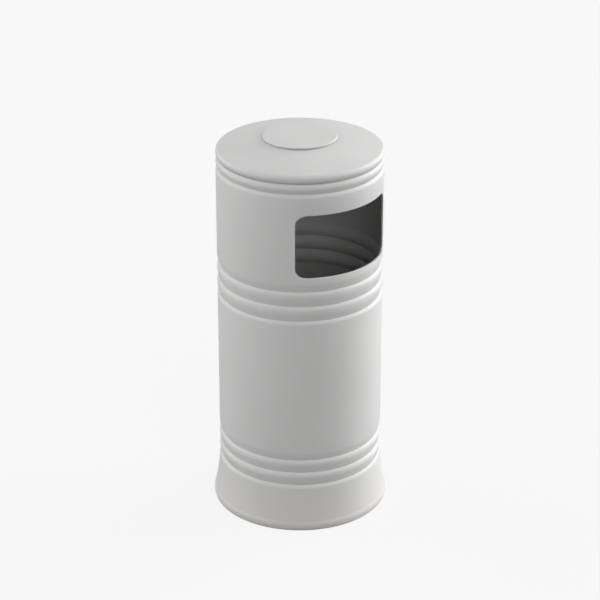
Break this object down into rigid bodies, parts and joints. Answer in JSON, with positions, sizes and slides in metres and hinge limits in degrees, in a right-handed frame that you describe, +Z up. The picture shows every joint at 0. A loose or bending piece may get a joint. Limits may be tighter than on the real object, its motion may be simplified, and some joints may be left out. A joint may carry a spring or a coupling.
{
  "type": "litter bin",
  "caption": "Tall cylindrical litter bin with a flared foot, grooved bands, a front aperture, a hinged domed lid with a crown disc, and a lift-out liner bucket inside",
  "frame": {"origin": "on the ground at the middle of the round foot", "axes": "+Z up along the bin's axis, the aperture faces -Y and the lid's hinge is at +Y"},
  "size_m": [0.4949, 0.495, 1.0923],
  "materials": {
    "shell_plastic": "fine-grained matte moulding",
    "galvanised_steel": "hot-dip galvanised, dull spangle",
    "stainless_steel": "satin",
    "rubber": "matte",
    "grip_plastic": "fine texture"
  },
  "bodies": {
    "body": {"body_shell": "shell_plastic", "base_plate": "galvanised_steel", "base_screws": "stainless_steel", "base_nuts": "stainless_steel", "liner_stand": "galvanised_steel", "stand_nuts": "stainless_steel", "liner_pads": "rubber", "hinge_bracket": "stainless_steel", "hinge_backing_plate": "stainless_steel", "hinge_screws": "stainless_steel", "hinge_nuts": "stainless_steel", "hinge_pin": "stainless_steel", "hinge_clips": "stainless_steel", "latch_bracket": "stainless_steel", "latch_screws": "stainless_steel"},
    "lid": {"lid": "shell_plastic", "rim_seal": "rubber", "lid_hinge_leaf": "stainless_steel", "leaf_screws": "stainless_steel", "leaf_nuts": "stainless_steel", "lid_keeper": "galvanised_steel", "keeper_screws": "stainless_steel", "crown_disc": "shell_plastic", "crown_gasket": "rubber", "crown_studs": "stainless_steel", "crown_washers": "stainless_steel", "crown_nuts": "stainless_steel"},
    "latch": {"latch_spindle": "stainless_steel", "latch_cam": "galvanised_steel", "latch_knob": "grip_plastic", "latch_nut": "stainless_steel"},
    "liner": {"liner": "galvanised_steel", "liner_ears": "galvanised_steel", "ear_rivets": "stainless_steel"},
    "bail": {"bail_handle": "galvanised_steel", "bail_grip": "grip_plastic"}
  },
  "joints": [
    {"name": "lid_hinge", "type": "hinge", "parent": "body", "child": "lid", "pos_m": [0, 0.2405, 1.028], "axis": [-1, 0, 0], "range_deg": [0, 95]},
    {"name": "latch_turn", "type": "hinge", "parent": "body", "child": "latch", "pos_m": [0, -0.203, 0.971], "axis": [0, 1, 0], "range_deg": [0, 90]},
    {"name": "liner_lift", "type": "slide", "parent": "body", "child": "liner", "axis": [0, 0, 1], "range_m": [0, 0.45]},
    {"name": "bail_swing", "type": "hinge", "parent": "liner", "child": "bail", "pos_m": [0, 0, 0.554], "axis": [1, 0, 0], "range_deg": [0, 180]}
  ]
}
